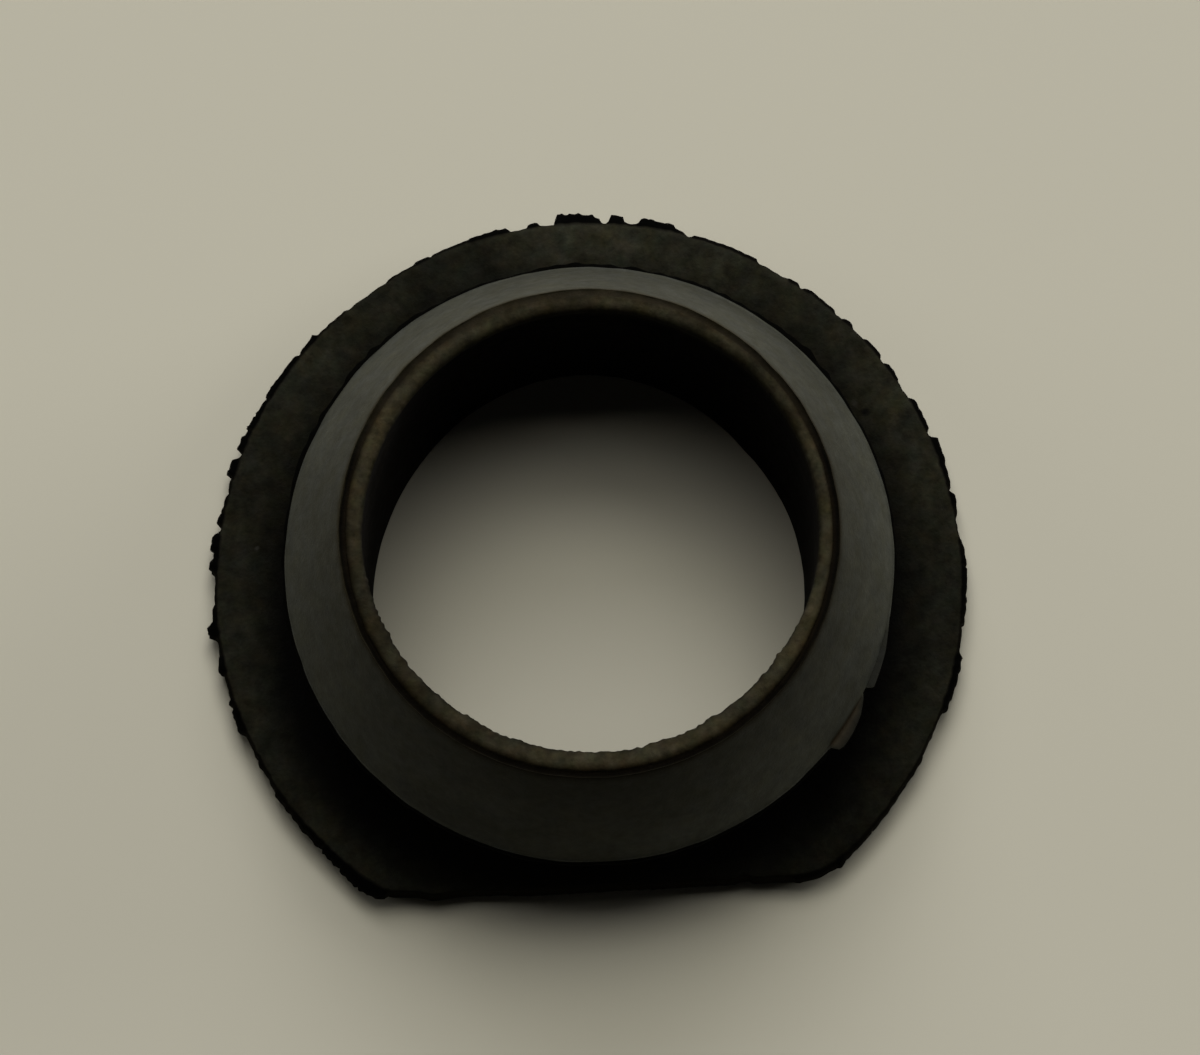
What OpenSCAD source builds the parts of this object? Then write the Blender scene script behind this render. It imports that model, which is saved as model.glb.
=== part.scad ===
// Moulded rubber grommet: a D-shaped flange, a neck that sits in a panel hole, a tapered nose
// that snaps through it, and a straight bore for the tube or cable.
// Z = 0 is the flange's underside, and the bore runs along +Z. The flat of the flange faces -Y.

/* [Bore] */
// Diameter of the bore
bore_d = 14.8; // [14:0.1:15.6]
// Width of the ring between the bore and the crease round its mouth
ring_w = 0.5; // [0.3:0.05:0.8]
// Width of the crease in the nose's end face
crease_w = 0.22; // [0.1:0.02:0.4]
// Depth of the crease
crease_depth = 0.25; // [0.1:0.05:0.6]

/* [Flange] */
// Diameter of the round part of the flange
flange_d = 24.8; // [23.4:0.1:30]
// Thickness of the flange
flange_t = 1.2; // [1:0.1:2.5]
// How far the flat of the flange stands outside the nose's lip
flat_margin = 0.2; // [0.1:0.05:0.6]
// Radius where the flat meets the round edge
corner_r = 2.6; // [0.5:0.1:6]

/* [Neck and nose] */
// Diameter of the neck, which is the panel hole it fills
neck_d = 18; // [17.2:0.1:19]
// Width of the groove round the neck, which is the thickest panel it takes
groove_w = 3; // [1:0.1:5]
// Fillet at each end of the neck
neck_fillet = 0.3; // [0.1:0.05:0.45]
// Diameter of the nose at its lip
lip_d = 20; // [19.6:0.1:21]
// Height of the lip's straight edge
lip_land = 0.3; // [0.15:0.05:1]
// Height of the tapered nose above the lip
nose_h = 4.5; // [2:0.1:8]

/* [Moulding flash] */
// Thickness of the flash torn off at the flange's edge
flange_flash_t = 0.55; // [0.2:0.05:0.9]
// Thickness of the flash torn off at the lip
lip_flash_t = 0.2; // [0.1:0.01:0.25]

/* [Hidden] */
$fn = 180;
rubber = [0.17, 0.17, 0.155];

bore_r = bore_d/2;
flange_r = flange_d/2;
neck_r = neck_d/2;
lip_r = lip_d/2;
lip_z = flange_t + groove_w;
nose_z = lip_z + lip_land;
total_h = nose_z + nose_h;
crease_r = bore_r + ring_w;
nose_end_r = crease_r + crease_w;
flat_y = lip_r + flat_margin;
// The corner's arc crosses the round edge at a slight angle, this far outside true tangency
corner_ease = 0.03;
corner_c = flange_r + corner_ease - corner_r;
corner_y = corner_r - flat_y;
corner_x = sqrt(corner_c*corner_c - corner_y*corner_y);
// How far the flash is rooted in the rubber, and how far cutters run past it
flash_root = 0.4;
over = 1;

// Each piece of flash: [angle round the axis, angle it spans, reach past the edge]
flange_flash = [
    [11, 2, 0.2], [19, 5, 0.24], [26, 2.5, 0.18], [34, 3, 0.16], [43, 3, 0.14],
    [52, 2.5, 0.14], [64, 7, 0.12], [76, 5.5, 0.32], [83, 1.7, 0.4], [89.5, 6, 0.42],
    [95.8, 1.7, 0.26], [102.5, 5, 0.22], [136, 4, 0.22], [143, 7, 0.22], [152, 6, 0.26],
    [158.2, 2, 0.3], [166.6, 1.7, 0.22], [171, 3.4, 0.32], [184, 1.8, 0.36], [190, 2.4, 0.26],
    [198, 5, 0.2], [342, 5, 0.16], [354, 4, 0.16]
];
lip_flash = [[-22.5, 10, 0.2], [-36.5, 8, 0.34]];

// The whole section from the bore's wall outwards, turned round the axis
module turned_body() {
    rotate_extrude() polygon([
        [bore_r, 0], [flange_r, 0], [flange_r, flange_t], [neck_r, flange_t], [neck_r, lip_z],
        [lip_r, lip_z], [lip_r, nose_z], [nose_end_r, total_h],
        [crease_r + crease_w/2, total_h - crease_depth], [crease_r, total_h],
        [bore_r, total_h]
    ]);
}

module neck_fillets() {
    rotate_extrude() for (end = [0, 1])
        translate([neck_r, flange_t + end*groove_w]) mirror([0, end]) difference() {
            translate([-over/4, -over/4]) square(neck_fillet + over/4);
            translate([neck_fillet, neck_fillet]) circle(neck_fillet, $fn = 48);
        }
}

// What is cut off the round flange to leave its flat, with an arc into the round edge
module flat_cutter() {
    translate([0, 0, -over]) linear_extrude(flange_t + 2*over) {
        translate([-flange_d, -flat_y - flange_d]) square([2*flange_d, flange_d]);
        for (side = [0, 1]) mirror([side, 0]) difference() {
            reach = 2*flange_r/corner_c;
            polygon([
                [corner_x, corner_y], [corner_x, corner_y*reach], [corner_x, corner_y]*reach
            ]);
            translate([corner_x, corner_y]) circle(corner_r);
        }
    }
}

// One torn tab of flash, standing past an edge of radius r
module flash_tab(r, spot, thickness) {
    half = spot[1]/2;
    root_r = r - flash_root;
    end_r = r + spot[2];
    function at(share, rad) = [rad*cos(spot[0] + share*half), rad*sin(spot[0] + share*half)];
    linear_extrude(thickness) polygon([
        at(-1, root_r), at(-0.8, end_r - 0.15*spot[2]), at(-0.1, end_r),
        at(0.65, end_r - 0.08*spot[2]), at(1, root_r)
    ]);
}

// Torn tabs round an edge of radius r, from the height z up
module flash(r, spots, z, thickness) {
    translate([0, 0, z]) for (spot = spots) flash_tab(r, spot, thickness);
}

module grommet() {
    color(rubber) {
        difference() {
            union() {
                turned_body();
                flash(flange_r, flange_flash, (flange_t - flange_flash_t)/2, flange_flash_t);
            }
            flat_cutter();
        }
        neck_fillets();
        flash(lip_r, lip_flash, nose_z - lip_flash_t, lip_flash_t);
    }
}

grommet();
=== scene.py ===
"""Dresses the moulded rubber grommet and sets it on a pale floor under soft studio light.

Every size below is in millimetres in the row's own frame: the bore runs along +Z from the
flange's underside, and the flat of the flange faces -Y. Meshes are written in metres. The
grommet is one moulding, so it is one closed mesh. Its section is traced at every angle at once.
"""
import logging
import math
from dataclasses import dataclass, field
from enum import Enum
from typing import Sequence

import bpy
import numpy as np
from mathutils import Matrix


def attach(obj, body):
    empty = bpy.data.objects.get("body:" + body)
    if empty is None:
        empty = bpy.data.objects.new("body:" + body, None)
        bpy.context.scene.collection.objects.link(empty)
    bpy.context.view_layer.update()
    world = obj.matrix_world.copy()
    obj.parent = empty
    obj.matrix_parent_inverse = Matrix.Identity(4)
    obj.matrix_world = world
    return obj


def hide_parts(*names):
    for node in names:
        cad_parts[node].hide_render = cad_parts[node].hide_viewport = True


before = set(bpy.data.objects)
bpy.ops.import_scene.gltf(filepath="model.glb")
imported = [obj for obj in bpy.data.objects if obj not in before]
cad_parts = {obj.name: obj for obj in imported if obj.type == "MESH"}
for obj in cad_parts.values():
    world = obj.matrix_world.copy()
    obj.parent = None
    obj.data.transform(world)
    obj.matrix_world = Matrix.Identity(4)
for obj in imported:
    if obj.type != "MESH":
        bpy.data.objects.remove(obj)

MM = 0.001
NODE = "grommet"
BODY = "root"
PIGMENT = "pigment"
# the lamps' colours
WARM = (1.0, 0.99, 0.94)
COOL = (1.0, 1.0, 1.02)
SIDE = (1.0, 1.0, 0.97)
LOG = logging.getLogger("grommet")

Colour = tuple[float, float, float]
Tab = tuple[float, float, float, float]
Spline = tuple[tuple[float, float], ...]
Values = np.ndarray | float
Dye = np.ndarray | Colour
Socket = bpy.types.NodeSocket


class Zone(Enum):
    """The three finishes of the moulding, by their place in the piece's material slots."""

    BODY = 0
    NOSE = 1
    RAW = 2


def srgb(red: int, green: int, blue: int) -> Colour:
    """Turns an 8-bit display colour into the linear values that a shader takes.

    Args:
        red: Red, 0 to 255.
        green: Green, 0 to 255.
        blue: Blue, 0 to 255.

    Returns:
        The linear colour.
    """
    def linear(value: int) -> float:
        """One channel, by the display standard's straight toe and power curve."""
        share = value / 255
        return share / 12.92 if share <= 0.04045 else ((share + 0.055) / 1.055) ** 2.4

    return linear(red), linear(green), linear(blue)


def round_noise(angle: np.ndarray, seed: int, low: int, high: int, slope: float) -> np.ndarray:
    """A seeded wobble round a circle: a sum of cosines of whole turns, so that it closes.

    Each wave from low to high turns has a random phase and an amplitude of its number to the
    power of -slope. The sum is scaled to a standard deviation of 1.

    Args:
        angle: Angles, in radians.
        seed: Seed of the phases.
        low: Fewest waves in a full turn.
        high: Most waves in a full turn.
        slope: How quickly the finer waves fade.

    Returns:
        The wobble at each angle.
    """
    rng = np.random.default_rng(seed)
    turns = np.arange(low, high + 1)[:, None]
    phase = rng.uniform(0, 2 * np.pi, turns.shape)
    waves = np.cos(turns * angle + phase) * turns ** -slope
    total = waves.sum(axis=0)
    return total / np.sqrt(0.5 * (turns ** (-2 * slope)).sum())


def space_noise(points: np.ndarray, seed: int, wavelength: float, waves: int = 40) -> np.ndarray:
    """A seeded mottle through space: the mean of plane waves in random directions.

    Each wave's length is between 0.6 and 1.6 of the given one. The sum is scaled to a standard
    deviation of 1.

    Args:
        points: Points, one a row.
        seed: Seed of the directions and phases.
        wavelength: The typical wavelength, in the points' own unit.
        waves: How many plane waves are added.

    Returns:
        The mottle at each point.
    """
    rng = np.random.default_rng(seed)
    direction = rng.normal(size=(3, waves))
    direction /= np.linalg.norm(direction, axis=0)
    number = 2 * np.pi / (wavelength * rng.uniform(0.6, 1.6, waves))
    phase = rng.uniform(0, 2 * np.pi, waves)
    return np.cos(points @ (direction * number) + phase).sum(axis=1) / math.sqrt(waves / 2)


def blend(one: Dye, other: Dye, amount: Values) -> np.ndarray:
    """Mixes two colours: the first, plus the amount of the way to the second.

    Args:
        one: The colour at amount 0, one for all angles or one a row.
        other: The colour at amount 1.
        amount: The share, one for all angles or one for each.

    Returns:
        The mixed colours, one a row.
    """
    share = np.clip(np.atleast_1d(amount), 0, 1)[:, None]
    return np.asarray(one) * (1 - share) + np.asarray(other) * share


def shaded(colour: Dye, shade: np.ndarray) -> np.ndarray:
    """A colour times a shade for each angle, one a row."""
    return np.asarray(colour) * shade[:, None]


def along(angle: np.ndarray, line: Spline) -> np.ndarray:
    """Reads a broken line of (degrees, value) points at each angle, going round from 0 to 360."""
    degrees, values = np.array(line).T
    return np.interp(np.degrees(angle) % 360, degrees, values, period=360)


def evenly(*values: float) -> Spline:
    """A closed broken line through values at even steps round the circle."""
    return tuple((place * 360 / len(values), value) for place, value in enumerate(values))


def tab_reach(angle: np.ndarray, tabs: Sequence[Tab], side: float) -> np.ndarray:
    """How far torn tabs of flash stand past a round edge.

    A tab's outline rises from nothing over its side, runs straight from its first reach to its
    last, and falls to nothing over its other side.

    Args:
        angle: Angles, in radians.
        tabs: Each tab's first and last angle in degrees and its reach there in millimetres.
        side: The span of each side of a tab, in degrees.

    Returns:
        The reach at each angle, which is 0 between the tabs.
    """
    total = np.zeros_like(angle)
    for start, end, first, last in tabs:
        middle = (start + end) / 2
        away = (np.degrees(angle) - middle + 180) % 360 - 180
        half = (end - start) / 2
        corners = (-half - side / 2, -half + side / 2, half - side / 2, half + side / 2)
        total = np.maximum(total, np.interp(away, corners, (0, first, last, 0)))
    return total


class Wobble(Enum):
    """Unevenness round the axis: its depth, seed, fewest and most waves in a turn, and slope."""

    NOTCHES = (1.0, 11, 20, 220, 0.2)
    FINE_RIM = (0.01, 5, 30, 260, 0.2)
    COARSE_RIM = (0.01, 6, 6, 30, 0.3)
    TEAR = (0.08, 21, 60, 330, 0.0)
    CREASE = (0.006, 31, 5, 60, 0.5)
    LIP = (0.008, 41, 3, 60, 0.6)
    SKIN = (0.2, 43, 6, 120, 0.3)
    FLANGE_SHADE = (0.05, 61, 5, 70, 0.4)
    RING_SHADE = (0.07, 51, 4, 60, 0.4)


@dataclass(frozen=True)
class Pigments:
    """The rubber's colours, place by place, in linear light; several carry painted shade, and one a
    painted highlight.
    """

    rim: Colour = (0.0119, 0.0114, 0.0084)
    flange: Colour = (0.0092, 0.0088, 0.0064)
    # painted shade: the flange's black by the neck, under the lip
    inner: Colour = (0.0006, 0.0005, 0.0004)
    # painted shade: the flange's side wall, kept darker than its top
    edge: Colour = (0.0029, 0.0026, 0.0018)
    groove: Colour = (0.0052, 0.0050, 0.0040)
    # partly the torn skin's dark rubber, partly painted shade under the lip
    lip_skin_and_shade: Colour = (0.0008, 0.0008, 0.0006)
    bore: Colour = (0.0034, 0.0032, 0.0032)
    bloom: Colour = (0.0352, 0.0360, 0.0305)
    worn_bloom: Colour = (0.0322, 0.0322, 0.0268)
    tip: Colour = (0.0190, 0.0165, 0.0105)
    ring: Colour = (0.0192, 0.0163, 0.0106)
    flank: Colour = (0.0150, 0.0106, 0.0060)
    # painted shade: the crease's bottom, darker as the crease deepens
    crease: Colour = (0.0033, 0.0028, 0.0020)
    torn: Colour = (0.0007, 0.0007, 0.0006)
    # painted highlight: the lit pale sliver on the torn fin
    fin_highlight: Colour = (0.0300, 0.0250, 0.0170)
    skin: Colour = (0.0115, 0.0113, 0.0092)


@dataclass(frozen=True)
class Speck:
    """A small spot of another colour on the surface, in millimetres."""

    centre: tuple[float, float, float]
    radius: float
    colour: Colour


@dataclass
class Recipe:
    """A material's node tree, with the few moves that every rubber finish is made of."""

    material: bpy.types.Material

    def __post_init__(self) -> None:
        """Empties the tree and finds the surface's own coordinates, in metres."""
        self.material.use_nodes = True
        self.nodes = self.material.node_tree.nodes
        self.links = self.material.node_tree.links
        self.nodes.clear()
        self.where = self.nodes.new("ShaderNodeTexCoord").outputs["Object"]

    def stretched(
        self, value: Socket, ends: tuple[float, float], result: tuple[float, float]
    ) -> Socket:
        """Maps a value between two ends to a result between two others.

        Args:
            value: The value to map.
            ends: Its least and most.
            result: What they become.

        Returns:
            The mapped value.
        """
        spread = self.nodes.new("ShaderNodeMapRange")
        for name, number in zip(("From Min", "From Max", "To Min", "To Max"), ends + result):
            spread.inputs[name].default_value = number
        self.links.new(value, spread.inputs["Value"])
        return spread.outputs["Result"]

    def mottle(self, size: float, detail: float, low: float, high: float) -> Socket:
        """Noise whose middle range is stretched to the given output range.

        Args:
            size: Size of its blotches, in millimetres.
            detail: How many finer layers it has.
            low: The least that it gives.
            high: The most.

        Returns:
            The mottle's value.
        """
        noise = self.nodes.new("ShaderNodeTexNoise")
        noise.inputs["Scale"].default_value = 1 / (size * MM)
        noise.inputs["Detail"].default_value = detail
        noise.inputs["Roughness"].default_value = 0.6
        self.links.new(self.where, noise.inputs["Vector"])
        return self.stretched(noise.outputs["Fac"], (0.3, 0.7), (low, high))

    def mixed(self, blend_type: str, amount: Socket, below: Socket, above: Colour) -> Socket:
        """Lays a colour over another by an amount.

        Args:
            blend_type: The mix node's way of mixing.
            amount: The share of the upper colour.
            below: The lower colour.
            above: The upper colour.

        Returns:
            The mixed colour.
        """
        mix = self.nodes.new("ShaderNodeMix")
        mix.data_type = "RGBA"
        mix.blend_type = blend_type
        self.links.new(amount, mix.inputs["Factor"])
        self.links.new(below, mix.inputs["A"])
        mix.inputs["B"].default_value = (*above, 1)
        return mix.outputs["Result"]

    def scaled(self, vector: Socket, by: Socket) -> Socket:
        """A colour or vector times a value.

        Args:
            vector: The colour or vector.
            by: The value.

        Returns:
            The product.
        """
        scale = self.nodes.new("ShaderNodeVectorMath")
        scale.operation = "SCALE"
        self.links.new(vector, scale.inputs["Vector"])
        self.links.new(by, scale.inputs["Scale"])
        return scale.outputs["Vector"]


@dataclass(frozen=True)
class RubberFinish:
    """Matt black rubber: its pigment broken up by mottle, with a fine moulded grain."""

    name: str
    roughness: float
    specular: float
    mottle: float
    blotch_mm: float
    grain_mm: float
    tint: Colour
    cool_tint: Colour
    specks: tuple[Speck, ...] = ()
    fine_mm: float = 0.35
    blotch_share: float = 0.8
    tint_mm: float = 0.8
    cool_tint_mm: float = 0.53
    speck_ragged_mm: float = 0.25
    speck_cover: float = 0.9
    uneven_mm: float = 0.4
    uneven_by: float = 0.08
    grain_size_mm: float = 0.12
    grain_strength: float = 0.5

    def colour(self, recipe: Recipe) -> Socket:
        """The pigment, times two scales of mottle, tinted in soft patches and specked.

        Args:
            recipe: The material's nodes.

        Returns:
            The colour.
        """
        pigment = recipe.nodes.new("ShaderNodeAttribute")
        pigment.attribute_name = PIGMENT
        colour = pigment.outputs["Color"]
        scales = (
            (self.fine_mm, 4, self.mottle), (self.blotch_mm, 3, self.blotch_share * self.mottle)
        )
        for size, detail, depth in scales:
            colour = recipe.scaled(colour, recipe.mottle(size, detail, 1 - depth, 1 + depth))
        for size, tint in ((self.tint_mm, self.tint), (self.cool_tint_mm, self.cool_tint)):
            colour = recipe.mixed("MULTIPLY", recipe.mottle(size, 3, 0, 1), colour, tint)
        for speck in self.specks:
            away = recipe.nodes.new("ShaderNodeVectorMath")
            away.operation = "DISTANCE"
            recipe.links.new(recipe.where, away.inputs[0])
            away.inputs[1].default_value = [value * MM for value in speck.centre]
            ragged = recipe.mottle(self.speck_ragged_mm, 3, 0.6, 1.4)
            ragged = recipe.scaled(away.outputs["Value"], ragged)
            ends = (0.3 * speck.radius * MM, 1.2 * speck.radius * MM)
            near = recipe.stretched(ragged, ends, (self.speck_cover, 0))
            colour = recipe.mixed("MIX", near, colour, speck.colour)
        return colour

    def material(self) -> bpy.types.Material:
        """Builds the finish: its colour, an uneven roughness and the grain as a shallow bump.

        Returns:
            The node material.
        """
        recipe = Recipe(bpy.data.materials.new(self.name))
        output = recipe.nodes.new("ShaderNodeOutputMaterial")
        shader = recipe.nodes.new("ShaderNodeBsdfPrincipled")
        recipe.links.new(shader.outputs["BSDF"], output.inputs["Surface"])
        shader.inputs["Specular IOR Level"].default_value = self.specular
        recipe.links.new(self.colour(recipe), shader.inputs["Base Color"])

        least, most = self.roughness - self.uneven_by, self.roughness + self.uneven_by
        uneven = recipe.mottle(self.uneven_mm, 5, least, most)
        recipe.links.new(uneven, shader.inputs["Roughness"])

        grain = recipe.nodes.new("ShaderNodeBump")
        grain.inputs["Strength"].default_value = self.grain_strength
        grain.inputs["Distance"].default_value = self.grain_mm * MM
        height = recipe.mottle(self.grain_size_mm, 4, 0, 1)
        recipe.links.new(height, grain.inputs["Height"])
        recipe.links.new(grain.outputs["Normal"], shader.inputs["Normal"])
        return recipe.material


@dataclass(frozen=True)
class Loop:
    """One closed line of points round the bore's axis, with the slots of the faces after it."""

    radius: np.ndarray
    height: np.ndarray
    pigment: np.ndarray
    slot: np.ndarray


@dataclass
class Section:
    """The section at every angle, as loops in order round it."""

    angle: np.ndarray
    loops: list[Loop] = field(default_factory=list)

    def __post_init__(self) -> None:
        """Draws every wobble once, in the order in which they are named."""
        self.wobble = {
            kind: kind.value[0] * round_noise(self.angle, *kind.value[1:]) for kind in Wobble
        }

    def add(
        self, radius: Values, height: Values, pigment: Dye, zone: Zone = Zone.BODY,
        raw: np.ndarray | bool = False,
    ) -> None:
        """Adds one loop.

        Args:
            radius: Distance from the axis, one for all angles or one for each.
            height: Height above the underside, likewise.
            pigment: Colour there, likewise.
            zone: Finish of the faces that follow.
            raw: Angles at which those faces are raw instead.
        """
        one = np.ones_like(self.angle)
        colours = np.broadcast_to(np.asarray(pigment, float), (len(one), 3))
        slot = np.where(raw, Zone.RAW.value, zone.value) * one
        self.loops.append(Loop(radius * one, height * one, colours, slot))

    def line_to(
        self, radius: Values, height: Values, steps: int, pigment: Dye, zone: Zone = Zone.BODY
    ) -> None:
        """Adds loops at even shares of the way from the last one to a new place.

        Args:
            radius: The new place's distance from the axis.
            height: Its height.
            steps: How many loops, the last of them in the new place.
            pigment: Colour of them all.
            zone: Finish of the faces that follow each.
        """
        start = self.loops[-1]
        for step in range(1, steps + 1):
            share = step / steps
            self.add(
                start.radius + (radius - start.radius) * share,
                start.height + (height - start.height) * share, pigment, zone,
            )

    def arc(
        self, radius: Values, height: float, size: float, first: float, last: float, steps: int,
        pigment: Dye, zone: Zone = Zone.BODY,
    ) -> None:
        """Adds loops round an arc: its centre plus size times (cos a, sin a).

        Args:
            radius: The centre's distance from the axis.
            height: The centre's height.
            size: The arc's radius.
            first: First angle a, in degrees.
            last: Last angle a.
            steps: How many loops.
            pigment: Colour of them all.
            zone: Finish of the faces that follow each.
        """
        for turn in np.linspace(math.radians(first), math.radians(last), steps):
            self.add(radius + size * math.cos(turn), height + size * math.sin(turn), pigment, zone)


@dataclass(frozen=True)
class Sizes:
    """The moulding's main sizes, on which all its parts are drawn."""

    bore_r: float = 7.4
    ring_w: float = 0.51
    ring_top: float = 0.3
    crease_w: float = 0.205
    flange_r: float = 12.41
    flange_t: float = 1.2
    flat_y: float = 10.2
    corner_r: float = 2.6
    neck_r: float = 9.0
    groove_w: float = 3.0
    neck_fillet: float = 0.3
    lip_r: float = 10.0
    lip_land: float = 0.3
    nose_h: float = 4.5
    edge: float = 0.07

    @property
    def root_r(self) -> float:
        """Radius at which the neck's fillets end."""
        return self.neck_r + self.neck_fillet

    @property
    def lip_z(self) -> float:
        """Height of the lip's underside."""
        return self.flange_t + self.groove_w

    @property
    def nose_z(self) -> float:
        """Height at which the nose begins to taper."""
        return self.lip_z + self.lip_land

    @property
    def height(self) -> float:
        """Height of the nose's tip and the ring."""
        return self.nose_z + self.nose_h

    @property
    def crest_r(self) -> float:
        """Radius of the ring's crest."""
        return self.bore_r + self.ring_top

    @property
    def foot_r(self) -> float:
        """Radius of the ring's outer foot."""
        return self.bore_r + self.ring_w

    @property
    def nose_end_r(self) -> float:
        """Radius of the nose's tip, outside the crease."""
        return self.foot_r + self.crease_w


@dataclass(frozen=True)
class Part:
    """A stretch of the moulding's section, on the shared sizes and colours."""

    sizes: Sizes = Sizes()
    dyes: Pigments = Pigments()


@dataclass(frozen=True)
class Bore(Part):
    """The hole's wall, whose lower opening is a little tighter at the sides."""

    # depth below the top to which the wall keeps its full painted light and shade; lower down it
    # fades to the plain wall colour
    band: float = 0.7
    # painted light and shade by angle: darkest on the far side, which faces away from the lamps,
    # lightest on the left
    shade: Spline = (
        (0, 1.9), (15, 1.5), (30, 0.8), (45, 0.3), (125, 0.3), (140, 1.6), (150, 3.0), (170, 3.2),
        (185, 2.6), (200, 1.2), (345, 1.5),
    )
    draft: Spline = (
        (0, 0.25), (20, 0.28), (40, 0.32), (60, 0.16), (80, 0.0), (100, 0.0), (120, 0.14),
        (140, 0.28), (155, 0.3), (168, 0.26), (180, 0.18), (195, 0.18), (215, 0.1), (330, 0.1),
        (345, 0.2),
    )

    def wall(self, angle: np.ndarray) -> np.ndarray:
        """The wall's colour at each angle, with painted light and shade."""
        return shaded(self.dyes.bore, along(angle, self.shade))

    def trace(self, section: Section) -> None:
        """Runs straight down the wall, and round its lower edge.

        Args:
            section: The section to add to.
        """
        sizes, dyes = self.sizes, self.dyes
        wall = self.wall(section.angle)
        section.add(sizes.bore_r, sizes.height - self.band, wall, Zone.RAW)
        foot = sizes.bore_r - along(section.angle, self.draft)
        section.line_to(foot, sizes.edge, 6, blend(dyes.bore, wall, 0.6), Zone.RAW)
        section.arc(foot + sizes.edge, sizes.edge, sizes.edge, 210, 270, 3, dyes.bore, Zone.RAW)


@dataclass(frozen=True)
class Flange(Part):
    """The D-shaped flange, with flash torn along its edge."""

    flash: tuple[Tab, ...] = (
        (0, 4.1, 0.16, 0.12), (8, 11.6, 0.1, 0.22), (12.4, 20.7, 0.12, 0.26),
        (22.2, 27.6, 0.16, 0.18), (31.1, 34.3, 0.12, 0.18), (35.8, 39.3, 0.15, 0.14),
        (42, 43.9, 0.13, 0.16), (45.6, 51.6, 0.12, 0.12), (50.2, 51.6, 0.16, 0.15),
        (52.5, 54.4, 0.12, 0.13), (60.1, 70.9, 0.14, 0.15), (72, 74, 0.1, 0.2),
        (73.9, 79.4, 0.29, 0.37), (79.3, 81.6, 0.1, 0.1), (81.6, 83.9, 0.36, 0.41),
        (85.2, 86.4, 0.24, 0.32), (86.2, 92.2, 0.38, 0.44), (94.8, 96.5, 0.22, 0.21),
        (99.5, 106, 0.25, 0.19), (106, 112, 0.12, 0.1), (112.4, 115.1, 0.14, 0.16),
        (115, 120, 0.05, 0.09), (127.8, 133.6, 0.07, 0.08), (133.8, 137.7, 0.25, 0.13),
        (138, 146, 0.2, 0.25), (145.9, 149.4, 0.14, 0.2), (149.3, 151.7, 0.25, 0.24),
        (151.7, 153, 0.17, 0.2), (152.8, 155.2, 0.25, 0.27), (156.8, 159.4, 0.27, 0.28),
        (159, 162, 0.1, 0.08), (162.6, 165.8, 0.11, 0.1), (165.7, 167.3, 0.2, 0.22),
        (168.8, 171.4, 0.24, 0.32), (171.2, 175, 0.18, 0.18), (172.6, 174.3, 0.28, 0.29),
        (175, 180, 0.05, 0.06), (180, 182.8, 0.12, 0.15), (182.7, 184.9, 0.34, 0.3),
        (185, 188, 0.05, 0.09), (187.9, 190.7, 0.14, 0.24), (191, 195, 0.06, 0.09),
        (194.8, 196, 0.17, 0.13), (196.2, 200.4, 0.18, 0.19), (200.5, 205.2, 0.03, 0.03),
        (205.2, 207, 0.12, 0.08), (207, 210.8, 0.05, 0.06), (210.7, 214.8, 0.14, 0.09),
        (214.8, 222, 0.13, 0.15), (222, 226, 0.18, 0.2), (225.8, 229.8, 0.24, 0.34),
        (229.6, 234.2, 0.34, 0.24), (301, 315.5, 0.13, 0.09), (307.7, 309.4, 0.18, 0.17),
        (315.5, 322.5, 0.07, 0.05), (325, 329.5, 0.06, 0.06), (337.2, 346.2, 0.15, 0.19),
        (346, 350.5, 0.05, 0.06), (351, 360, 0.12, 0.17),
    )
    flash_side: float = 0.5
    flash_z: float = 0.3
    # each level's height, and its shares of the ragged and of the even reach
    flash_steps: tuple[tuple[float, float, float], ...] = (
        (0.36, 0.8, 0.0), (0.5, 1.0, 0.0), (0.7, 0.0, 1.0), (0.86, 0.9, 0.0), (1.06, 0.0, 0.68),
    )
    torn_from: float = 0.07
    torn_over: float = 0.1
    flat_rough: float = 0.4
    corner_wear: Spline = (
        (0, 0.0), (233.8, 0.0), (236.5, -0.14), (238, -0.16), (239.5, -0.08), (240.5, -0.01),
        (242, -0.05), (244, -0.1), (247, -0.1), (249, -0.06), (251, -0.06), (253, -0.03),
        (256, 0.0), (292.6, 0.0), (293.7, -0.1), (295, -0.11), (295.7, 0.0), (359, 0.0),
    )
    bare_over: float = 0.5
    bevel_in: float = 0.03
    bevel_z: float = 0.035
    bevel_reach: float = 0.12
    top_reach: float = 0.1
    top_steps: int = 15
    grey_r: float = 11.0
    grey_w: float = 0.9
    # painted shade by the neck: black out to dark_r, clearing to the full colour over dark_w
    dark_r: float = 10.0
    dark_w: float = 1.4
    # painted shadow of the nose on the near-left and near-right: how much further out the painted
    # shade by the neck reaches there, and how much sharper its edge is
    painted_shadow_w: float = 0.4
    painted_shadow: Spline = (
        (0, 0.0), (175, 0.0), (195, 0.45), (210, 0.8), (225, 0.9), (240, 0.5), (255, 0.0),
        (285, 0.0), (300, 0.3), (315, 0.3), (330, 0.1), (345, 0.0),
    )
    # the top's brightness by angle: partly uneven tone, partly painted light and shade, darker over
    # the near half
    shade: Spline = evenly(
        0.73, 1.01, 1.12, 0.85, 0.96, 1.27, 1.87, 0.62, 0.70, 0.99, 0.96, 0.82,
        0.80, 0.82, 0.62, 0.84, 0.58, 0.72, 0.72, 0.73, 0.47, 0.45, 0.67, 0.69,
    )

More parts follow.
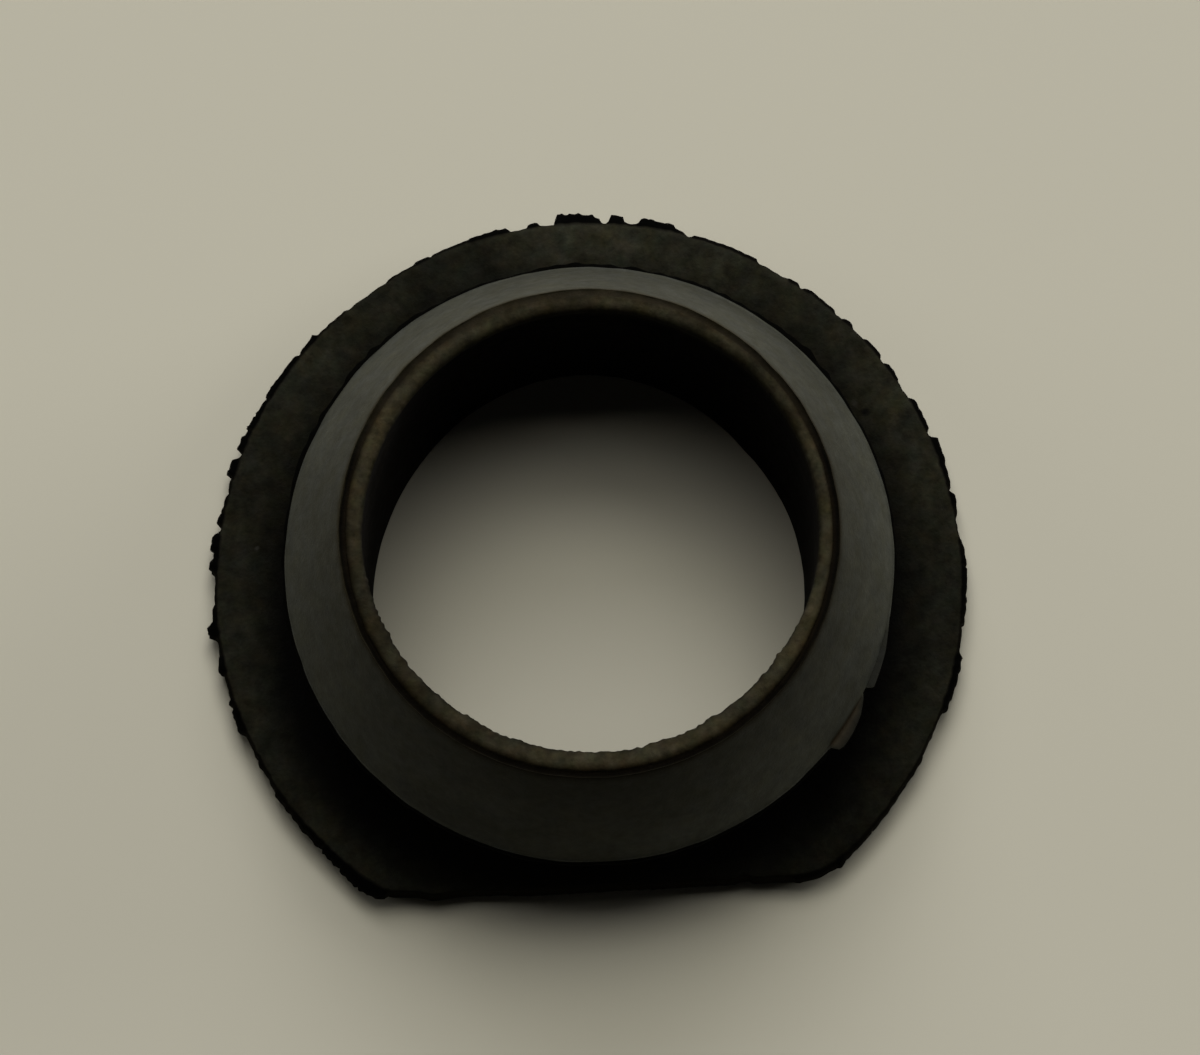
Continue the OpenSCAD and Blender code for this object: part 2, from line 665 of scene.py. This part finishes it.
    def outline(self, angle: np.ndarray) -> np.ndarray:
        """The flange's radius at each angle: a circle, a straight flat, and an arc between them.

        A ray from the axis meets the circle at its radius and the flat at flat_y over the sine
        of the angle below the X axis. Between the arc's two ends it meets the corner circle at
        c.u + sqrt(r^2 - |c x u|^2), where c is that circle's centre and u the ray's direction.

        Args:
            angle: Angles, in radians.

        Returns:
            The radius at each angle.
        """
        sizes = self.sizes
        down = -np.sin(angle)
        across = np.abs(np.cos(angle))
        centre_y = sizes.flat_y - sizes.corner_r
        centre_x = math.sqrt((sizes.flange_r - sizes.corner_r) ** 2 - centre_y ** 2)
        along_ray = centre_x * across + centre_y * down
        off = centre_x * down - centre_y * across
        corner = along_ray + np.sqrt(np.maximum(sizes.corner_r ** 2 - off ** 2, 0))
        in_corner = (down > 0) & (off > 0) & (across * sizes.flat_y > centre_x * down)
        on_flat = (down > 0) & (across * sizes.flat_y <= centre_x * down)
        radius = np.where(in_corner, corner, sizes.flange_r)
        return np.where(on_flat, sizes.flat_y / np.maximum(down, 1e-6), radius)

    def rim(self, section: Section) -> np.ndarray:
        """The outline with its roughness, which is less off the round, and its worn corners.

        Args:
            section: The section, with its wobbles.

        Returns:
            The radius at each angle.
        """
        outline = self.outline(section.angle)
        rough = section.wobble[Wobble.FINE_RIM] + section.wobble[Wobble.COARSE_RIM]
        share = np.where(outline < self.sizes.flange_r - 0.01, self.flat_rough, 1.0)
        return outline + rough * share + along(section.angle, self.corner_wear)

    def pigment(self, section: Section, radius: np.ndarray) -> np.ndarray:
        """The top's colour by its distance from the axis: greyer rim, painted shade by the neck.

        Args:
            section: The section, with its wobbles.
            radius: Distance from the axis at each angle.

        Returns:
            The colour at each angle.
        """
        dyes, angle = self.dyes, section.angle
        outer = blend(dyes.flange, dyes.rim, (radius - self.grey_r) / self.grey_w)
        outer = shaded(outer, along(angle, self.shade) + section.wobble[Wobble.FLANGE_SHADE])
        # painted shadow of the nose on the near side, then painted shade by the neck
        painted_shadow = along(angle, self.painted_shadow)
        clear = (radius - self.dark_r - painted_shadow) / (self.dark_w - self.painted_shadow_w * painted_shadow)
        return blend(dyes.inner, outer, clear)

    def trace(self, section: Section) -> None:
        """Runs out along the underside, up the torn edge, and in along the top to the neck.

        Args:
            section: The section to add to.
        """
        sizes, dyes, angle = self.sizes, self.dyes, section.angle
        edge, top = sizes.edge, sizes.flange_t
        rim = self.rim(section)
        reach = tab_reach(angle, self.flash, self.flash_side)
        tear = reach * (1 + section.wobble[Wobble.TEAR])
        torn = np.clip((reach - self.torn_from) / self.torn_over, 0, 1)
        # the side wall in painted shade, darker than the top, and near-black on the torn flash
        edge_dye = blend(dyes.edge, dyes.torn, torn)

        section.line_to(rim - edge, 0, 4, dyes.flange)
        section.arc(rim - edge, edge, edge, 300, 360, 3, dyes.edge, Zone.RAW)
        section.add(rim, self.flash_z, dyes.edge, Zone.RAW)
        for height, ragged, even in self.flash_steps:
            section.add(rim + ragged * tear + even * reach, height, edge_dye, Zone.RAW)
        bevel = rim - self.bevel_in + self.bevel_reach * reach
        section.add(bevel, top - self.bevel_z, edge_dye, raw=torn > self.bare_over)
        section.add(rim - edge - self.top_reach * reach, top, self.pigment(section, rim))
        start = section.loops[-1].radius
        for share in np.linspace(0, 1, self.top_steps + 1)[1:]:
            radius = start + (sizes.root_r - start) * share
            section.add(radius, top, self.pigment(section, radius))


@dataclass(frozen=True)
class Neck(Part):
    """The groove that takes a panel's edge: the neck, with a fillet at each end."""

    corner_share: float = 0.4

    def trace(self, section: Section) -> None:
        """Runs up the neck from one fillet to the other.

        Args:
            section: The section to add to.
        """
        sizes, dyes = self.sizes, self.dyes
        fillet, root = sizes.neck_fillet, sizes.root_r
        # the lower fillet carries on the painted shade by the neck
        corner = blend(dyes.inner, dyes.groove, self.corner_share)
        section.arc(root, sizes.flange_t + fillet, fillet, 250, 180, 4, corner, Zone.RAW)
        section.line_to(sizes.neck_r, sizes.lip_z - fillet, 4, dyes.groove, Zone.RAW)
        section.arc(root, sizes.lip_z - fillet, fillet, 160, 90, 3, dyes.groove, Zone.RAW)


@dataclass(frozen=True)
class Lip(Part):
    """The lip's torn edge, with a thin skin left round it and a fin standing on the near side."""

    growth: float = 0.02
    tear: Spline = (
        (0, 0.0), (180, 0.0), (316, 0.0), (318, 0.03), (318.8, 0.07), (319.3, 0.3), (320.4, 0.36),
        (323.4, 0.33), (327, 0.25), (330, 0.06), (331.4, -0.08), (331.9, -0.05), (332.6, 0.21),
        (334, 0.2), (340, 0.14), (346, 0.0),
    )
    # where the torn fin carries its painted highlight and the painted shade line beside it
    fin_highlight_span: Spline = ((0, 0), (318.6, 0), (319.6, 1), (327, 1), (330.5, 0), (359, 0))
    fin_from: float = 0.02
    fin_over: float = 0.06
    fin_skin: float = 0.01
    skin: Spline = (
        (0, 0.06), (20, 0.08), (34, 0.1), (38, 0.13), (40, 0.22), (43, 0.24), (45, 0.13),
        (60, 0.12), (75, 0.1), (90, 0.12), (105, 0.08), (120, 0.13), (135, 0.14), (150, 0.15),
        (165, 0.1), (180, 0.1), (195, 0.08), (345, 0.06),
    )
    worn_skin: float = 0.75

    def trace(self, section: Section) -> None:
        """Runs out along the underside, up the torn skin, and in over the top to the cone's foot.

        Args:
            section: The section to add to.
        """
        sizes, dyes, angle = self.sizes, self.dyes, section.angle
        edge, base, top, inner = sizes.edge, sizes.lip_z, sizes.nose_z, sizes.lip_r
        fin = along(angle, self.tear)
        lip = inner + self.growth + section.wobble[Wobble.LIP] + fin
        whole_skin = along(angle, self.skin) * (1 + section.wobble[Wobble.SKIN])
        skin = np.where(fin > self.fin_from, self.fin_skin, whole_skin)
        fin_highlight = along(angle, self.fin_highlight_span)

        # the lip's underside and outer skin: partly dark torn rubber, partly painted shade under
        # the lip, which draws the dark line at its foot
        section.line_to(lip + skin - edge, base, 3, dyes.lip_skin_and_shade, Zone.RAW)
        for out, height in (
            (lip + skin - 0.2 * edge, base + 0.2 * edge), (lip + skin, base + edge),
            (lip + skin, top - 0.1), (lip + 0.6 * skin, top - 0.06),
        ):
            section.add(out, height, dyes.lip_skin_and_shade, Zone.RAW)
        section.add(lip, top - 0.04, dyes.lip_skin_and_shade, Zone.NOSE)

        standing = np.clip(fin / self.fin_over, 0, 1)
        darker_share = standing * (self.worn_skin + (1 - self.worn_skin) * fin_highlight)
        dye = blend(dyes.bloom, dyes.skin, darker_share)
        # painted highlight on the fin's lit sliver, and a painted shade line of flank brown on its
        # inner side
        for out, height, colour in (
            (lip - 0.012, top - 0.01, dye),
            (0.6 * lip + 0.4 * inner - 0.014, top - 0.004, blend(dye, dyes.fin_highlight, 0.5 * fin_highlight)),
            (0.3 * lip + 0.7 * inner - 0.018, top, blend(dye, dyes.fin_highlight, fin_highlight)),
            (inner - 0.022, top + 0.01, blend(dye, dyes.flank, fin_highlight)),
            (inner - 0.042, top + 0.06, blend(dyes.bloom, dyes.tip, fin_highlight)),
        ):
            section.add(out, height, colour, Zone.NOSE)


@dataclass(frozen=True)
class Cone(Part):
    """The nose's bloomed cone, brown at its tip, where painted shade darkens the near side."""

    shares: tuple[float, ...] = (
        0.03, 0.08, 0.15, 0.23, 0.31, 0.39, 0.47, 0.55, 0.63, 0.71, 0.79, 0.86, 0.91, 0.945, 0.97,
        0.99,
    )
    levels: tuple[float, float, float] = (0.14, 0.5, 0.85)
    bloom_base: Spline = evenly(
        1.25, 1.21, 0.86, 0.68, 0.66, 0.79, 0.67, 0.82, 1.00, 1.13, 1.14, 1.00,
        1.06, 1.11, 1.11, 0.90, 0.77, 0.99, 1.20, 1.33, 1.17, 1.16, 0.90, 1.22,
    )
    bloom_mid: Spline = evenly(
        1.09, 1.01, 0.98, 1.00, 1.08, 0.86, 0.88, 0.99, 1.05, 1.16, 1.10, 0.87,
        1.03, 0.98, 0.90, 0.85, 0.94, 0.98, 1.08, 1.05, 1.12, 0.99, 0.98, 1.15,
    )
    bloom_tip: Spline = evenly(
        0.92, 0.91, 0.97, 1.05, 1.09, 0.99, 1.09, 1.13, 1.16, 1.16, 1.06, 0.98,
        0.94, 0.97, 0.85, 0.78, 0.74, 0.72, 0.83, 0.79, 0.87, 0.73, 0.83, 0.87,
    )
    # painted shade: the tip's brown darkened on the near side
    tip_shade: Spline = (
        (0, 0.6), (30, 0.7), (45, 0.95), (60, 1.0), (180, 1.0), (200, 0.9), (225, 0.7), (240, 0.58),
        (285, 0.58), (300, 0.66), (315, 0.6), (345, 0.52),
    )
    tip_from: float = 0.93
    tip_over: float = 0.06

    def tip(self, section: Section) -> np.ndarray:
        """Radius of the cone's tip at each angle."""
        return self.sizes.nose_end_r + section.wobble[Wobble.CREASE]

    def tip_dye(self, angle: np.ndarray) -> np.ndarray:
        """The tip's brown at each angle, darkened by painted shade on the near side."""
        return shaded(self.dyes.tip, along(angle, self.tip_shade))

    def bloom(self, angle: np.ndarray, share: float) -> np.ndarray:
        """The bloom's colour at a share of the way up, read between the three levels.

        Args:
            angle: Angles, in radians.
            share: The share, from 0 at the foot to 1 at the tip.

        Returns:
            The colour at each angle.
        """
        lines = (self.bloom_base, self.bloom_mid, self.bloom_tip)
        weights = [np.interp(share, self.levels, row) for row in np.eye(len(lines))]
        wear = sum(weight * along(angle, line) for weight, line in zip(weights, lines))
        return shaded(blend(self.dyes.bloom, self.dyes.worn_bloom, share), wear)

    def trace(self, section: Section) -> None:
        """Runs straight up from the foot to the tip.

        Args:
            section: The section to add to.
        """
        angle, start = section.angle, section.loops[-1]
        tip, tip_dye = self.tip(section), self.tip_dye(angle)
        for share in self.shares:
            section.add(
                start.radius + (tip - start.radius) * share,
                start.height + (self.sizes.height - start.height) * share,
                blend(self.bloom(angle, share), tip_dye, (share - self.tip_from) / self.tip_over),
                Zone.NOSE,
            )


@dataclass(frozen=True)
class Ring(Part):
    """The raised ring round the bore's mouth, and the crease that parts it from the cone."""

    bore: Bore = Bore()
    cone: Cone = Cone()
    crease_depth: float = 0.17
    crease_share: Spline = (
        (0, 0.8), (15, 0.7), (30, 0.55), (45, 0.45), (60, 0.32), (75, 0.2), (90, 0.18), (105, 0.22),
        (120, 0.32), (135, 0.46), (150, 0.6), (165, 0.75), (180, 0.95), (225, 1.0), (315, 1.0),
        (345, 0.9),
    )
    # painted shade: the crease's bottom turns to the dark crease colour as it deepens
    dark_from: float = 0.03
    dark_over: float = 0.09
    shade: Spline = evenly(
        1.26, 1.78, 1.08, 0.85, 1.18, 1.61, 1.20, 1.52, 1.54, 1.30, 2.30, 1.34,
        1.16, 0.62, 0.91, 0.94, 1.08, 1.37, 1.16, 1.66, 1.34, 1.17, 1.74, 1.48,
    )
    shade_limits: tuple[float, float] = (0.4, 2.4)
    # painted shade: the bead's flank and the crease's bottom darker on the far side
    flank_shade: Spline = (
        (0, 1.0), (40, 1.0), (60, 0.8), (80, 0.6), (125, 0.55), (150, 0.75), (170, 1.0),
    )
    bottom_gain: float = 1.1
    brink_gain: float = 1.7
    mouth: Spline = (
        (0, 0.06), (15, 0.09), (30, 0.06), (45, 0.08), (60, 0.02), (75, 0.04), (90, -0.02),
        (105, -0.04), (120, -0.06), (135, -0.07), (150, -0.07), (165, -0.06), (180, -0.04),
        (195, -0.09), (210, -0.11), (225, -0.16), (255, -0.18), (270, -0.17), (285, -0.13),
        (300, -0.13), (315, -0.1), (330, -0.04), (345, 0.05),
    )
    crest_follow: float = 0.4
    bead_round: float = 0.3
    round_share: Spline = ((0, 1.0), (180, 1.0), (205, 0.5), (320, 0.5), (345, 0.9))
    # the bead's turns a in degrees, its colour's share at each, and inside that of the nibs
    outer_turns: Spline = (
        (80, 0.0), (65, 0.08), (50, 0.24), (35, 0.5), (20, 0.82), (7, 1.0),
    )
    inner_turns: tuple[tuple[float, float, float], ...] = (
        (8, 1.0, 0.0), (22, 1.0, 0.15), (37, 0.9, 0.4), (52, 0.7, 0.8), (66, 0.5, 1.0),
        (82, 0.35, 0.8),
    )
    flash: tuple[Tab, ...] = (
        (203, 206, 0.05, 0.03), (211.5, 213, 0.05, 0.05), (233, 240.5, 0.06, 0.03),
        (247, 249, 0.04, 0.06), (281.5, 288.5, 0.07, 0.04), (297.5, 300.5, 0.05, 0.06),
        (321.5, 327.5, 0.05, 0.02),
    )
    flash_side: float = 1.6
    raggedness: Spline = ((0, 0.006), (180, 0.006), (200, 0.018), (335, 0.018), (350, 0.008))
    deepest_notch: float = 0.02

    def trace(self, section: Section) -> None:
        """Runs down the crease's steep wall, over the ring's bead and round into the bore.

        The bead is two quarter ellipses, each its crest plus (half width * sin a,
        -depth * (1 - cos a)). Its outer one falls to the crease, its inner one to the bore.

        Args:
            section: The section to add to.
        """
        sizes, dyes, angle = self.sizes, self.dyes, section.angle
        height = sizes.height
        shade = along(angle, self.shade) + section.wobble[Wobble.RING_SHADE]
        shade = np.clip(shade, *self.shade_limits)
        flank_shade = along(angle, self.flank_shade)
        ring = shaded(dyes.ring, shade)
        flank = shaded(dyes.flank, shade * flank_shade)
        # painted shade in the crease by its depth, and on the flank over the far side
        depth = self.crease_depth * along(angle, self.crease_share)
        dark = np.clip((depth - self.dark_from) / self.dark_over, 0, 1)
        bottom = blend(shaded(self.bottom_gain * ring, flank_shade), dyes.crease, dark)

        # the crease's steep wall and its bottom
        tip, tip_dye = self.cone.tip(section), self.cone.tip_dye(angle)
        # painted shade at the tip's brink, as much as the tip is darkened
        darker_share = 1 - along(angle, self.cone.tip_shade)
        brink = blend(tip_dye, bottom, self.brink_gain * darker_share)
        section.add(tip - 0.004, height - 0.006, brink, Zone.NOSE)
        section.add(tip - 0.02, height - 0.01 - 0.2 * depth, blend(brink, bottom, 0.6))
        section.add(tip - 0.055, height - 0.8 * depth, bottom, Zone.RAW)
        section.add(tip - 0.1, height - depth, bottom, Zone.RAW)

        # the bead's outer quarter
        mouth = along(angle, self.mouth)
        crest = sizes.crest_r + self.crest_follow * mouth
        outer_w = sizes.foot_r + section.wobble[Wobble.CREASE] - crest
        for turn, amount in self.outer_turns:
            swing = math.radians(turn)
            dye = blend(blend(flank, bottom, 0.8 - amount), ring, amount)
            fall = depth * (1 - math.cos(swing))
            section.add(crest + outer_w * math.sin(swing), height - fall, dye)

        # its inner quarter, torn in places, and the start of the bore
        # the ring fades into the bore wall's painted light and shade
        wall = self.bore.wall(angle)
        notches = along(angle, self.raggedness) * section.wobble[Wobble.NOTCHES]
        nibs = tab_reach(angle, self.flash, self.flash_side)
        nibs = nibs + np.maximum(notches, -self.deepest_notch)
        inner_w = crest - sizes.bore_r - mouth
        drop = self.bead_round * along(angle, self.round_share)
        for turn, amount, torn in self.inner_turns:
            swing = math.radians(turn)
            radius = crest - inner_w * math.sin(swing) - torn * nibs
            section.add(radius, height - drop * (1 - math.cos(swing)), blend(wall, ring, amount))
        radius = sizes.bore_r + 0.8 * mouth - 0.3 * nibs
        section.add(radius, height - drop - 0.05, blend(wall, ring, 0.2), Zone.RAW)


@dataclass
class Grommet:
    """The whole moulding: flange with its flash, neck, lip, cone, crease, ring and bore."""

    sizes: Sizes = Sizes()
    dyes: Pigments = Pigments()
    columns: int = 1020
    # the mottled relief's two layers: depth, seed and wavelength
    relief: tuple[tuple[float, int, float], ...] = ((0.002, 3, 0.6), (0.005, 4, 1.8))
    level_below: float = 0.02
    sharp_degrees: float = 50.0
    body_finish: RubberFinish = RubberFinish(
        name="matt_rubber", roughness=0.7, specular=0.018, mottle=0.4, blotch_mm=1.1,
        grain_mm=0.02, tint=(1.0, 0.86, 0.64), cool_tint=(0.84, 1.0, 0.86),
        specks=(
            Speck((9.49, 5.37, 1.2), 0.16, (0.0007, 0.0007, 0.0006)),
            Speck((9.17, 5.69, 1.2), 0.14, (0.0120, 0.0110, 0.0080)),
            Speck((-10.97, 1.81, 1.2), 0.09, (0.0180, 0.0170, 0.0140)),
        ),
    )
    nose_finish: RubberFinish = RubberFinish(
        name="bloomed_rubber", roughness=0.45, specular=0.012, mottle=0.15, blotch_mm=1.5,
        grain_mm=0.012, tint=(1.0, 0.97, 0.84), cool_tint=(0.97, 0.99, 1.0),
    )
    raw_finish: RubberFinish = RubberFinish(
        name="raw_rubber", roughness=0.8, specular=0.008, mottle=0.2, blotch_mm=1.2,
        grain_mm=0.02, tint=(1.0, 0.95, 0.8), cool_tint=(1.0, 1.0, 1.0),
    )

    def section(self) -> Section:
        """Traces the section part by part, from the bore's wall down, out, up and back in.

        Returns:
            The section, closed by the step from its last loop to its first.
        """
        shared = (self.sizes, self.dyes)
        bore, cone = Bore(*shared), Cone(*shared)
        ring = Ring(*shared, bore=bore, cone=cone)
        section = Section(np.arange(self.columns) * 2 * np.pi / self.columns)
        for part in (bore, Flange(*shared), Neck(*shared), Lip(*shared), cone, ring):
            before = len(section.loops)
            part.trace(section)
            LOG.info("%s: %d loops", type(part).__name__.lower(), len(section.loops) - before)
        return section

    def surface(self, section: Section) -> np.ndarray:
        """The surface's points: (r cos a, r sin a, z), moved a little by the relief.

        Each point moves along the surface's own normal, found from the differences between its
        neighbours. The underside stays level.

        Args:
            section: The traced section.

        Returns:
            The points, one a row, loop by loop.
        """
        radius = np.array([loop.radius for loop in section.loops])
        height = np.array([loop.height for loop in section.loops])
        points = np.stack(
            [radius * np.cos(section.angle), radius * np.sin(section.angle), height], axis=-1
        )
        down_section = np.roll(points, -1, axis=0) - np.roll(points, 1, axis=0)
        round_axis = np.roll(points, -1, axis=1) - np.roll(points, 1, axis=1)
        normal = np.cross(round_axis, down_section)
        normal /= np.maximum(np.linalg.norm(normal, axis=-1, keepdims=True), 1e-9)
        points = points.reshape(-1, 3)
        depth = sum(deep * space_noise(points, seed, wave) for deep, seed, wave in self.relief)
        depth[points[:, 2] < self.level_below] = 0
        points = points + normal.reshape(-1, 3) * depth[:, None]
        points[:, 2] = np.maximum(points[:, 2], 0)
        return points

    def build(self) -> bpy.types.Object:
        """Makes the closed mesh: one quad between each two loops and each two angles.

        Returns:
            The finished piece.
        """
        section = self.section()
        rows, columns = len(section.loops), self.columns
        first = np.arange(rows)[:, None] * columns
        after = np.roll(np.arange(rows), -1)[:, None] * columns
        here = np.arange(columns)[None, :]
        beside = np.roll(np.arange(columns), -1)[None, :]
        quads = np.stack([first + here, first + beside, after + beside, after + here], axis=-1)
        mesh = bpy.data.meshes.new("grommet_rubber")
        mesh.from_pydata(self.surface(section) * MM, [], quads.reshape(-1, 4))
        mesh.validate()

        layer = mesh.attributes.new(PIGMENT, "FLOAT_COLOR", "POINT")
        pigment = np.ones((rows * columns, 4), np.float32)
        pigment[:, :3] = np.concatenate([loop.pigment for loop in section.loops])
        layer.data.foreach_set("color", pigment.ravel())
        mesh.polygons.foreach_set("use_smooth", np.ones(len(mesh.polygons), bool))
        mesh.set_sharp_from_angle(angle=math.radians(self.sharp_degrees))
        slots = np.concatenate([loop.slot for loop in section.loops]).astype(np.int32)
        mesh.polygons.foreach_set("material_index", slots)
        for finish in (self.body_finish, self.nose_finish, self.raw_finish):
            mesh.materials.append(finish.material())

        piece = bpy.data.objects.new("grommet_rubber", mesh)
        bpy.context.scene.collection.objects.link(piece)
        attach(piece, BODY)
        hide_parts(NODE)
        LOG.info("%s: %d loops, %d faces", piece.name, rows, len(mesh.polygons))
        return piece


def place_facing(
    item: bpy.types.Object, azimuth: float, elevation: float, distance: float,
    shift: tuple[float, float] = (0.0, 0.0),
) -> None:
    """Puts a light or camera on a sphere round the origin, facing inwards.

    Azimuth 0 is on the -Y side and grows towards +X. The item and the point it faces are both
    moved by shift, along its own right and up.

    Args:
        item: The light or camera, which looks along its own -Z.
        azimuth: Angle round the vertical, in degrees.
        elevation: Angle above the floor, in degrees.
        distance: Distance from the point it faces, in metres.
        shift: Sideways and upward offset, in metres.
    """
    turn, rise = math.radians(azimuth), math.radians(elevation)
    right = np.array([math.cos(turn), math.sin(turn), 0.0])
    away = np.array(
        [math.sin(turn) * math.cos(rise), -math.cos(turn) * math.cos(rise), math.sin(rise)]
    )
    up = np.cross(away, right)
    place = away * distance + right * shift[0] + up * shift[1]
    rows = [[float(column[row]) for column in (right, up, away, place)] for row in range(3)]
    item.matrix_world = Matrix(rows + [[0, 0, 0, 1]])


@dataclass(frozen=True)
class Lamp:
    """A rectangular soft light that faces the grommet: angles in degrees, sizes in metres."""

    name: str
    azimuth: float
    elevation: float
    watts: float
    colour: Colour
    distance: float = 1.0
    width: float = 0.6
    height: float = 0.25

    def build(self) -> bpy.types.Object:
        """Hangs the light at its azimuth and elevation, and turns it to the origin.

        Returns:
            The light.
        """
        light = bpy.data.lights.new(self.name, "AREA")
        light.shape = "RECTANGLE"
        light.size = self.width
        light.size_y = self.height
        light.energy = self.watts
        light.color = self.colour
        lamp = bpy.data.objects.new(self.name, light)
        place_facing(lamp, self.azimuth, self.elevation, self.distance)
        bpy.context.scene.collection.objects.link(lamp)
        LOG.info("light %s", self.name)
        return lamp


@dataclass(frozen=True)
class Studio:
    """A pale floor in a dim room, lit by windows behind the grommet and from both sides."""

    floor_size: float = 3.0
    floor_colour: Colour = srgb(183, 179, 163)
    room: Colour = (0.50, 0.50, 0.49)
    room_strength: float = 0.015
    lens: float = 270.0
    camera_azimuth: float = -3.1
    camera_elevation: float = 77.2
    camera_distance: float = 0.3
    camera_shift: tuple[float, float] = (0.00035, 0.00214)
    lamps: tuple[Lamp, ...] = (
        Lamp("window", 180, 45, 3.64, (1.0, 1.0, 1.03)),
        Lamp("high_window", 180, 60, 2.45, WARM),
        Lamp("high_window_right", 145, 60, 1.17, WARM),
        Lamp("high_window_left", 215, 60, 0.3, WARM),
        Lamp("ceiling", 180, 75, 1.4, WARM),
        Lamp("sill", 180, 15, 4.35, COOL),
        Lamp("sill_corner", 145, 15, 0.6, COOL),
        Lamp("side_right", 110, 15, 3.9, SIDE),
        Lamp("side_left", 250, 15, 1.6, SIDE),
    )

    def floor(self) -> bpy.types.Object:
        """A flat pale sheet under the grommet.

        Returns:
            The floor.
        """
        half = self.floor_size / 2
        mesh = bpy.data.meshes.new("floor")
        corners = [(-half, -half, 0), (half, -half, 0), (half, half, 0), (-half, half, 0)]
        mesh.from_pydata(corners, [], [(0, 1, 2, 3)])
        material = bpy.data.materials.new("pale_floor")
        material.use_nodes = True
        shader = material.node_tree.nodes["Principled BSDF"]
        shader.inputs["Base Color"].default_value = (*self.floor_colour, 1)
        shader.inputs["Roughness"].default_value = 0.9
        shader.inputs["Specular IOR Level"].default_value = 0.1
        mesh.materials.append(material)
        floor = bpy.data.objects.new("floor", mesh)
        bpy.context.scene.collection.objects.link(floor)
        return floor

    def world(self) -> None:
        """A dim even room, which a look or a reflection sees as a pale backdrop."""
        world = bpy.data.worlds.new("room")
        world.use_nodes = True
        nodes, links = world.node_tree.nodes, world.node_tree.links
        nodes.clear()
        output = nodes.new("ShaderNodeOutputWorld")
        room = nodes.new("ShaderNodeBackground")
        room.inputs["Color"].default_value = (*self.room, 1)
        room.inputs["Strength"].default_value = self.room_strength
        backdrop = nodes.new("ShaderNodeBackground")
        backdrop.inputs["Color"].default_value = (*self.floor_colour, 1)
        path = nodes.new("ShaderNodeLightPath")
        seen = path.outputs["Is Camera Ray"]
        for kind in ("Is Glossy Ray", "Is Transmission Ray"):
            either = nodes.new("ShaderNodeMath")
            either.operation = "MAXIMUM"
            links.new(seen, either.inputs[0])
            links.new(path.outputs[kind], either.inputs[1])
            seen = either.outputs["Value"]
        shown = nodes.new("ShaderNodeMixShader")
        links.new(seen, shown.inputs["Fac"])
        links.new(room.outputs["Background"], shown.inputs[1])
        links.new(backdrop.outputs["Background"], shown.inputs[2])
        links.new(shown.outputs["Shader"], output.inputs["Surface"])
        bpy.context.scene.world = world

    def camera(self) -> None:
        """The camera, high on the near side, on a long lens."""
        data = bpy.data.cameras.new("camera")
        data.lens = self.lens
        data.clip_start = 0.01
        camera = bpy.data.objects.new("camera", data)
        place_facing(
            camera, self.camera_azimuth, self.camera_elevation, self.camera_distance,
            self.camera_shift,
        )
        bpy.context.scene.collection.objects.link(camera)
        bpy.context.scene.camera = camera

    def build(self) -> None:
        """Sets up the floor, the room, the lights and the camera."""
        self.floor()
        self.world()
        for lamp in self.lamps:
            lamp.build()
        self.camera()
        bpy.context.scene.view_settings.view_transform = "Standard"


def main() -> None:
    """Builds the grommet and its studio."""
    logging.basicConfig(level=logging.INFO, format="%(name)s: %(message)s")
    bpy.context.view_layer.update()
    Studio().build()
    Grommet().build()


if __name__ == "__main__":
    main()
